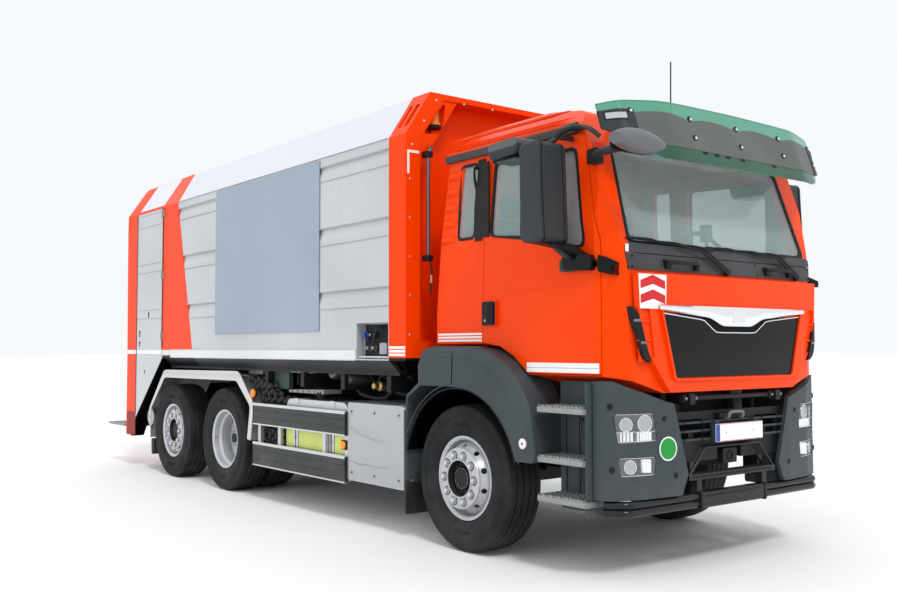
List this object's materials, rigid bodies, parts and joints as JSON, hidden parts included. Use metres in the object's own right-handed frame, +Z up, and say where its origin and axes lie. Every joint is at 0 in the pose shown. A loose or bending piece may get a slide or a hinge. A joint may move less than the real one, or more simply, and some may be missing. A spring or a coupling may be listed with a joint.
{
  "type": "three-axle rear-loading garbage truck",
  "caption": "Rear-loading garbage truck with tilting day cab, steered axles, push-out body, lifting tailgate with packer, bin lifter and folding footboards.",
  "frame": {"origin": "on the ground under the middle of the whole truck, the bottom centre of its bounding box", "axes": "+Z up, the truck faces -Y, +X is its left side"},
  "size_m": [2.91, 9.0199, 3.4999],
  "materials": {
    "painted_orange": "gloss orange-red paint",
    "painted_silver": "satin silver paint",
    "painted_dark": "satin black chassis paint",
    "rim": "satin silver paint",
    "tyre": "matt rubber",
    "plastic": "grained anthracite plastic",
    "glass": "lightly tinted glass",
    "visor": "green tinted acrylic",
    "aluminium": "mill finish",
    "engine": "rough cast",
    "seat": "woven",
    "steel": "worn steel"
  },
  "bodies": {
    "chassis": {"chassis_frame": "painted_dark", "front_axle_beam": "painted_dark", "trailing_axle_beam": "painted_dark", "drive_axle": "painted_dark", "suspension": "painted_dark", "engine": "engine", "driveline": "painted_dark", "fuel_tank": "aluminium", "equipment_boxes": "aluminium", "side_guards": "aluminium", "front_mudguards": "plastic", "tandem_mudguards": "aluminium", "cab_steps": "aluminium", "bumper": "plastic", "front_guard_bar": "painted_dark", "body_shell": "painted_silver", "body_floor": "painted_dark", "front_portal": "painted_orange", "rear_portal": "painted_orange"},
    "knuckle_front_left": {"knuckle_front_left": "painted_dark"},
    "wheel_front_left": {"tyre_front_left": "tyre", "wheel_front_left": "rim"},
    "knuckle_front_right": {"knuckle_front_right": "painted_dark"},
    "wheel_front_right": {"tyre_front_right": "tyre", "wheel_front_right": "rim"},
    "knuckle_trailing_left": {"knuckle_trailing_left": "painted_dark"},
    "wheel_trailing_left": {"tyre_trailing_left": "tyre", "wheel_trailing_left": "rim"},
    "knuckle_trailing_right": {"knuckle_trailing_right": "painted_dark"},
    "wheel_trailing_right": {"tyre_trailing_right": "tyre", "wheel_trailing_right": "rim"},
    "wheels_drive_left": {"tyres_drive_left": "tyre", "wheels_drive_left": "rim"},
    "wheels_drive_right": {"tyres_drive_right": "tyre", "wheels_drive_right": "rim"},
    "cab": {"cab_shell": "painted_orange", "cab_roof": "painted_orange", "cab_glass": "glass", "sun_visor": "visor", "front_mirror": "plastic", "seats": "seat", "dashboard": "plastic"},
    "front_flap": {"front_flap": "painted_orange"},
    "door_left": {"door_left": "painted_orange", "door_glass_left": "glass", "mirror_left": "plastic"},
    "door_right": {"door_right": "painted_orange", "door_glass_right": "glass", "mirror_right": "plastic"},
    "ejector": {"ejector_plate": "steel"},
    "tailgate": {"tailgate": "painted_orange"},
    "packer_carriage": {"packer_carriage": "steel"},
    "packer_blade": {"packer_blade": "steel"},
    "bin_lifter": {"bin_lifter": "steel"},
    "footboard_left": {"footboard_left": "steel"},
    "footboard_right": {"footboard_right": "steel"},
    "cylinder_barrels": {"cylinder_barrels": "steel"},
    "cylinder_rods": {"cylinder_rods": "steel"}
  },
  "joints": [
    {"name": "front_left_steering", "type": "hinge", "parent": "chassis", "child": "knuckle_front_left", "pos_m": [0.925, -2.76, 0.522], "axis": [0, 0, 1], "range_deg": [-40, 40]},
    {"name": "front_left_wheel_spin", "type": "hinge", "parent": "knuckle_front_left", "child": "wheel_front_left", "pos_m": [1.053, -2.76, 0.522], "axis": [1, 0, 0], "continuous": true},
    {"name": "front_right_steering", "type": "hinge", "parent": "chassis", "child": "knuckle_front_right", "pos_m": [-0.925, -2.76, 0.522], "axis": [0, 0, 1], "range_deg": [-40, 40]},
    {"name": "front_right_wheel_spin", "type": "hinge", "parent": "knuckle_front_right", "child": "wheel_front_right", "pos_m": [-1.053, -2.76, 0.522], "axis": [1, 0, 0], "continuous": true},
    {"name": "trailing_left_steering", "type": "hinge", "parent": "chassis", "child": "knuckle_trailing_left", "pos_m": [0.94, 2.49, 0.522], "axis": [0, 0, 1], "range_deg": [-14, 14]},
    {"name": "trailing_left_wheel_spin", "type": "hinge", "parent": "knuckle_trailing_left", "child": "wheel_trailing_left", "pos_m": [1.086, 2.49, 0.522], "axis": [1, 0, 0], "continuous": true},
    {"name": "trailing_right_steering", "type": "hinge", "parent": "chassis", "child": "knuckle_trailing_right", "pos_m": [-0.94, 2.49, 0.522], "axis": [0, 0, 1], "range_deg": [-14, 14]},
    {"name": "trailing_right_wheel_spin", "type": "hinge", "parent": "knuckle_trailing_right", "child": "wheel_trailing_right", "pos_m": [-1.086, 2.49, 0.522], "axis": [1, 0, 0], "continuous": true},
    {"name": "drive_left_wheel_spin", "type": "hinge", "parent": "chassis", "child": "wheels_drive_left", "pos_m": [1.082, 1.14, 0.522], "axis": [1, 0, 0], "continuous": true},
    {"name": "drive_right_wheel_spin", "type": "hinge", "parent": "chassis", "child": "wheels_drive_right", "pos_m": [-1.082, 1.14, 0.522], "axis": [1, 0, 0], "continuous": true},
    {"name": "cab_tilt", "type": "hinge", "parent": "chassis", "child": "cab", "pos_m": [0, -4.18, 1.12], "axis": [1, 0, 0], "range_deg": [0, 60]},
    {"name": "front_flap_hinge", "type": "hinge", "parent": "cab", "child": "front_flap", "pos_m": [0, -4.216, 1.925], "axis": [-1, 0, 0], "range_deg": [0, 75]},
    {"name": "door_left_hinge", "type": "hinge", "parent": "cab", "child": "door_left", "pos_m": [1.122, -4.024, 2], "axis": [0, 0, -1], "range_deg": [0, 70]},
    {"name": "door_right_hinge", "type": "hinge", "parent": "cab", "child": "door_right", "pos_m": [-1.122, -4.024, 2], "axis": [0, 0, 1], "range_deg": [0, 70]},
    {"name": "ejector_slide", "type": "slide", "parent": "chassis", "child": "ejector", "axis": [0, 1, 0], "range_m": [0, 3.45]},
    {"name": "tailgate_lift", "type": "hinge", "parent": "chassis", "child": "tailgate", "pos_m": [0, 2.687, 3.46], "axis": [1, 0, 0], "range_deg": [0, 85]},
    {"name": "packer_slide", "type": "slide", "parent": "tailgate", "child": "packer_carriage", "axis": [0, 0.866, -0.5], "range_m": [0, 0.75]},
    {"name": "packer_swing", "type": "hinge", "parent": "packer_carriage", "child": "packer_blade", "pos_m": [0, 2.52048, 2.025], "axis": [1, 0, 0], "range_deg": [0, 110]},
    {"name": "bin_lifter_swing", "type": "hinge", "parent": "tailgate", "child": "bin_lifter", "pos_m": [0, 3.94, 1.33], "axis": [1, 0, 0], "range_deg": [0, 150]},
    {"name": "footboard_left_fold", "type": "hinge", "parent": "tailgate", "child": "footboard_left", "pos_m": [0, 3.88, 0.495], "axis": [1, 0, 0], "range_deg": [0, 90]},
    {"name": "footboard_right_fold", "type": "hinge", "parent": "tailgate", "child": "footboard_right", "pos_m": [0, 3.88, 0.495], "axis": [1, 0, 0], "range_deg": [0, 90]},
    {"name": "tailgate_cylinder_swing", "type": "hinge", "parent": "chassis", "child": "cylinder_barrels", "pos_m": [0, 2.235, 2.26], "axis": [1, 0, 0], "range_deg": [0, 6.14]},
    {"name": "tailgate_cylinder_stroke", "type": "slide", "parent": "cylinder_barrels", "child": "cylinder_rods", "axis": [0, 0.6432, 0.7657], "range_m": [0, 0.647]}
  ],
  "couplings": [
    {"joint": "front_right_steering", "follows": "front_left_steering", "ratio": 1},
    {"joint": "trailing_left_steering", "follows": "front_left_steering", "ratio": -0.35},
    {"joint": "trailing_right_steering", "follows": "front_left_steering", "ratio": -0.35},
    {"joint": "tailgate_cylinder_swing", "follows": "tailgate_lift", "ratio": 0.06638},
    {"joint": "tailgate_cylinder_stroke", "follows": "tailgate_lift", "m_per_rad": 0.43275}
  ]
}
